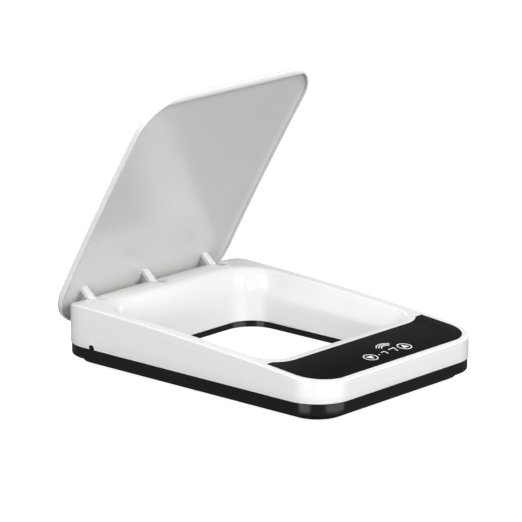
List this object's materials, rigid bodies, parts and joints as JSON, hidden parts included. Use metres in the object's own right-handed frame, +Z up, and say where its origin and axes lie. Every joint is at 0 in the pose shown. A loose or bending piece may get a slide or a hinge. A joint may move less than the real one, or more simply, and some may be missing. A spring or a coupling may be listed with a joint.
{
  "type": "automatic pet feeder",
  "caption": "Low white tray frame with a rounded through opening for a bowl, a black touch panel at the front and a motor-driven lid hinged at the rear, shown open.",
  "frame": {"origin": "centre of the bounding box on the ground, lid open", "axes": "+Z up; +Y from the touch panel towards the hinge; +X along the hinge axis"},
  "size_m": [0.22, 0.328, 0.254],
  "materials": {
    "casing_white": "glossy",
    "liner_white": "satin",
    "base_black": "satin",
    "panel_gloss_black": "glossy",
    "pad_rubber": "matte",
    "board_green": "satin",
    "chip_black": "satin",
    "foam_grey": "matte",
    "clear_plastic": "glossy",
    "cell_wrap": "glossy",
    "steel": "satin",
    "brass": "satin",
    "natural_plastic": "satin",
    "lead_red": "satin",
    "lead_grey": "satin"
  },
  "bodies": {
    "tray": {"top_casing": "casing_white", "base_tray": "base_black", "touch_panel": "panel_gloss_black", "control_board": "board_green", "controller_chip": "chip_black", "touch_foam_left": "foam_grey", "touch_foam_right": "foam_grey", "light_guide": "clear_plastic", "presence_sensor": "chip_black", "buzzer": "chip_black", "battery_cradle": "base_black", "battery_cell_left": "cell_wrap", "battery_cell_right": "cell_wrap", "charge_board": "board_green", "charge_socket": "steel", "gearbox_case": "natural_plastic", "motor_can": "steel", "motor_cradle": "base_black", "slot_sensor": "chip_black", "battery_lead": "lead_red", "motor_lead": "lead_grey", "case_screw_front_left": "steel", "foot_pad_front_left": "pad_rubber", "case_screw_front_right": "steel", "foot_pad_front_right": "pad_rubber", "case_screw_rear_left": "steel", "foot_pad_rear_left": "pad_rubber", "case_screw_rear_right": "steel", "foot_pad_rear_right": "pad_rubber", "case_screw_mid_left": "steel", "case_screw_mid_right": "steel", "hinge_post_left": "base_black", "shaft_bush_left": "brass", "hinge_post_middle": "base_black", "shaft_bush_middle": "brass", "hinge_post_right": "base_black", "shaft_bush_right": "brass"},
    "lid": {"lid_cover": "casing_white", "lid_liner": "liner_white", "hinge_arm_left": "casing_white", "hinge_arm_middle": "casing_white", "hinge_arm_right": "casing_white", "hinge_shaft": "steel", "lid_gear": "natural_plastic", "sensor_flag": "base_black", "shaft_clip_left": "steel", "shaft_clip_right": "steel"},
    "pinion": {"motor_pinion": "natural_plastic"}
  },
  "joints": [
    {"name": "lid_hinge", "type": "hinge", "parent": "tray", "child": "lid", "pos_m": [0, 0.13247, 0.0399], "axis": [1, 0, 0], "range_deg": [0, 62.65]},
    {"name": "pinion_spin", "type": "hinge", "parent": "tray", "child": "pinion", "pos_m": [0.052, 0.12847, 0.02855], "axis": [1, 0, 0], "range_deg": [-126, 0]}
  ],
  "couplings": [
    {"joint": "pinion_spin", "follows": "lid_hinge", "ratio": -2}
  ]
}
